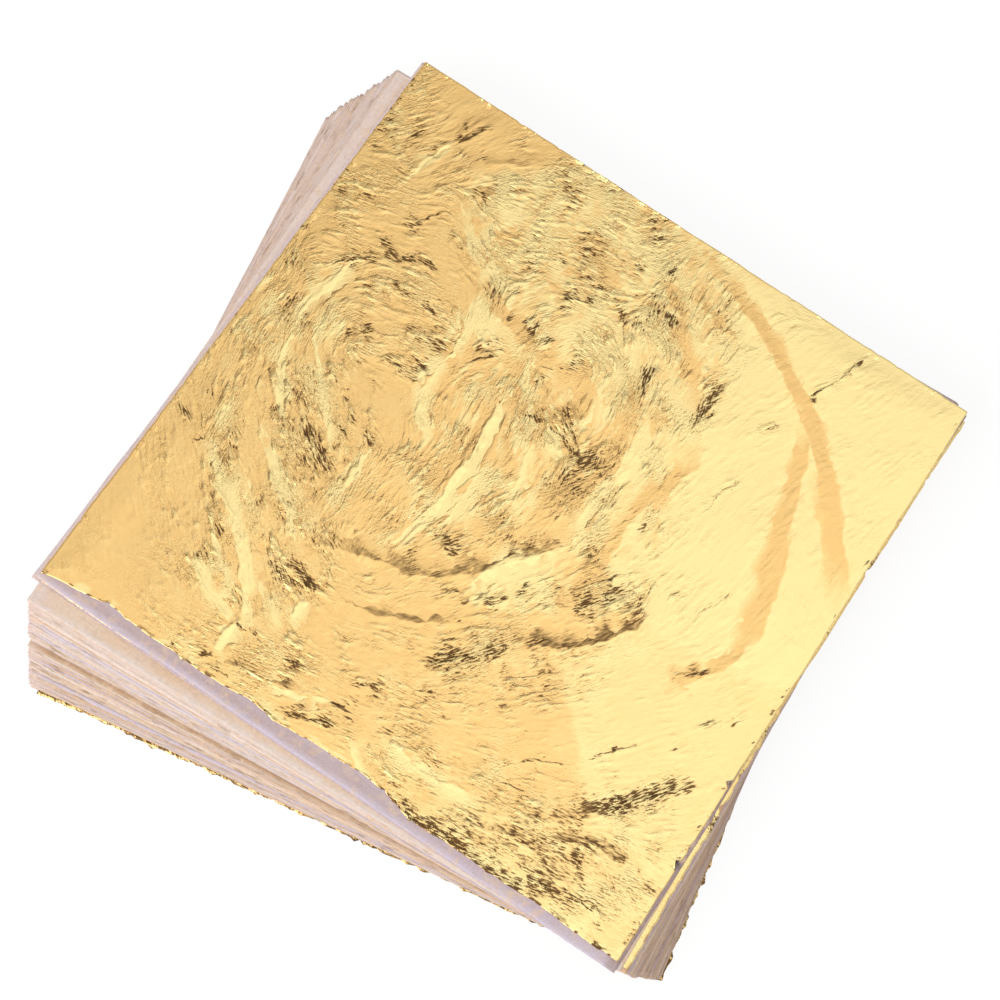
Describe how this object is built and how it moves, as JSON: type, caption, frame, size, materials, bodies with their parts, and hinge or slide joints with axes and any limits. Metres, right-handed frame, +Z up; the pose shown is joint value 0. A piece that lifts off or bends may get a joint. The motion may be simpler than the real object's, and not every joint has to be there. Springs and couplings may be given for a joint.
{
  "type": "pile of metal leaf",
  "caption": "Fanned pile of loose square metal leaves for gilding, each lying on its own sheet of soft tissue, top leaf crinkled and deckled.",
  "frame": {"origin": "middle of the lowest tissue's underside, on the surface that the pile lies on", "axes": "+Z up through the pile, square to every sheet; -Y faces the front edge of the lowest tissue and +X its right edge"},
  "size_m": [0.1639, 0.1638, 0.012],
  "materials": {
    "leaf": "bright crinkled metal leaf",
    "tissue": "matte translucent tissue"
  },
  "bodies": {
    "pack_9": {"pack_9_tissues": "tissue", "pack_9_leaves": "leaf"},
    "pack_8": {"pack_8_tissues": "tissue", "pack_8_leaves": "leaf"},
    "pack_7": {"pack_7_tissues": "tissue", "pack_7_leaves": "leaf"},
    "pack_6": {"pack_6_tissues": "tissue", "pack_6_leaves": "leaf"},
    "pack_5": {"pack_5_tissues": "tissue", "pack_5_leaves": "leaf"},
    "pack_4": {"pack_4_tissues": "tissue", "pack_4_leaves": "leaf"},
    "pack_3": {"pack_3_tissues": "tissue", "pack_3_leaves": "leaf"},
    "pack_2": {"pack_2_tissues": "tissue", "pack_2_leaves": "leaf"},
    "pack_1": {"pack_1_tissues": "tissue", "pack_1_leaves": "leaf"},
    "tissue_10": {"tissue_10": "tissue"},
    "leaf_10": {"leaf_10": "leaf"},
    "tissue_9": {"tissue_9": "tissue"},
    "leaf_9": {"leaf_9": "leaf"},
    "tissue_8": {"tissue_8": "tissue"},
    "leaf_8": {"leaf_8": "leaf"},
    "tissue_7": {"tissue_7": "tissue"},
    "leaf_7": {"leaf_7": "leaf"},
    "tissue_6": {"tissue_6": "tissue"},
    "leaf_6": {"leaf_6": "leaf"},
    "tissue_5": {"tissue_5": "tissue"},
    "leaf_5": {"leaf_5": "leaf"},
    "tissue_4": {"tissue_4": "tissue"},
    "leaf_4": {"leaf_4": "leaf"},
    "tissue_3": {"tissue_3": "tissue"},
    "leaf_3": {"leaf_3": "leaf"},
    "tissue_2": {"tissue_2": "tissue"},
    "leaf_2": {"leaf_2": "leaf"},
    "tissue_1": {"tissue_1": "tissue"},
    "leaf_1": {"leaf_1": "leaf"}
  },
  "joints": [
    {"name": "lift_pack_8", "type": "slide", "parent": "pack_9", "child": "pack_8", "axis": [0, 0, 1], "range_m": [0, 0.02]},
    {"name": "lift_pack_7", "type": "slide", "parent": "pack_8", "child": "pack_7", "axis": [0, 0, 1], "range_m": [0, 0.02]},
    {"name": "lift_pack_6", "type": "slide", "parent": "pack_7", "child": "pack_6", "axis": [0, 0, 1], "range_m": [0, 0.02]},
    {"name": "lift_pack_5", "type": "slide", "parent": "pack_6", "child": "pack_5", "axis": [0, 0, 1], "range_m": [0, 0.02]},
    {"name": "lift_pack_4", "type": "slide", "parent": "pack_5", "child": "pack_4", "axis": [0, 0, 1], "range_m": [0, 0.02]},
    {"name": "lift_pack_3", "type": "slide", "parent": "pack_4", "child": "pack_3", "axis": [0, 0, 1], "range_m": [0, 0.02]},
    {"name": "lift_pack_2", "type": "slide", "parent": "pack_3", "child": "pack_2", "axis": [0, 0, 1], "range_m": [0, 0.02]},
    {"name": "lift_pack_1", "type": "slide", "parent": "pack_2", "child": "pack_1", "axis": [0, 0, 1], "range_m": [0, 0.02]},
    {"name": "lift_tissue_10", "type": "slide", "parent": "pack_1", "child": "tissue_10", "axis": [0, 0, 1], "range_m": [0, 0.01]},
    {"name": "lift_leaf_10", "type": "slide", "parent": "tissue_10", "child": "leaf_10", "axis": [0, 0, 1], "range_m": [0, 0.01]},
    {"name": "lift_tissue_9", "type": "slide", "parent": "leaf_10", "child": "tissue_9", "axis": [0, 0, 1], "range_m": [0, 0.01]},
    {"name": "lift_leaf_9", "type": "slide", "parent": "tissue_9", "child": "leaf_9", "axis": [0, 0, 1], "range_m": [0, 0.01]},
    {"name": "lift_tissue_8", "type": "slide", "parent": "leaf_9", "child": "tissue_8", "axis": [0, 0, 1], "range_m": [0, 0.01]},
    {"name": "lift_leaf_8", "type": "slide", "parent": "tissue_8", "child": "leaf_8", "axis": [0, 0, 1], "range_m": [0, 0.01]},
    {"name": "lift_tissue_7", "type": "slide", "parent": "leaf_8", "child": "tissue_7", "axis": [0, 0, 1], "range_m": [0, 0.01]},
    {"name": "lift_leaf_7", "type": "slide", "parent": "tissue_7", "child": "leaf_7", "axis": [0, 0, 1], "range_m": [0, 0.01]},
    {"name": "lift_tissue_6", "type": "slide", "parent": "leaf_7", "child": "tissue_6", "axis": [0, 0, 1], "range_m": [0, 0.01]},
    {"name": "lift_leaf_6", "type": "slide", "parent": "tissue_6", "child": "leaf_6", "axis": [0, 0, 1], "range_m": [0, 0.01]},
    {"name": "lift_tissue_5", "type": "slide", "parent": "leaf_6", "child": "tissue_5", "axis": [0, 0, 1], "range_m": [0, 0.01]},
    {"name": "lift_leaf_5", "type": "slide", "parent": "tissue_5", "child": "leaf_5", "axis": [0, 0, 1], "range_m": [0, 0.01]},
    {"name": "lift_tissue_4", "type": "slide", "parent": "leaf_5", "child": "tissue_4", "axis": [0, 0, 1], "range_m": [0, 0.01]},
    {"name": "lift_leaf_4", "type": "slide", "parent": "tissue_4", "child": "leaf_4", "axis": [0, 0, 1], "range_m": [0, 0.01]},
    {"name": "lift_tissue_3", "type": "slide", "parent": "leaf_4", "child": "tissue_3", "axis": [0, 0, 1], "range_m": [0, 0.01]},
    {"name": "lift_leaf_3", "type": "slide", "parent": "tissue_3", "child": "leaf_3", "axis": [0, 0, 1], "range_m": [0, 0.01]},
    {"name": "lift_tissue_2", "type": "slide", "parent": "leaf_3", "child": "tissue_2", "axis": [0, 0, 1], "range_m": [0, 0.01]},
    {"name": "lift_leaf_2", "type": "slide", "parent": "tissue_2", "child": "leaf_2", "axis": [0, 0, 1], "range_m": [0, 0.01]},
    {"name": "lift_tissue_1", "type": "slide", "parent": "leaf_2", "child": "tissue_1", "axis": [0, 0, 1], "range_m": [0, 0.01]},
    {"name": "lift_leaf_1", "type": "slide", "parent": "tissue_1", "child": "leaf_1", "axis": [0, 0, 1], "range_m": [0, 0.01]}
  ]
}
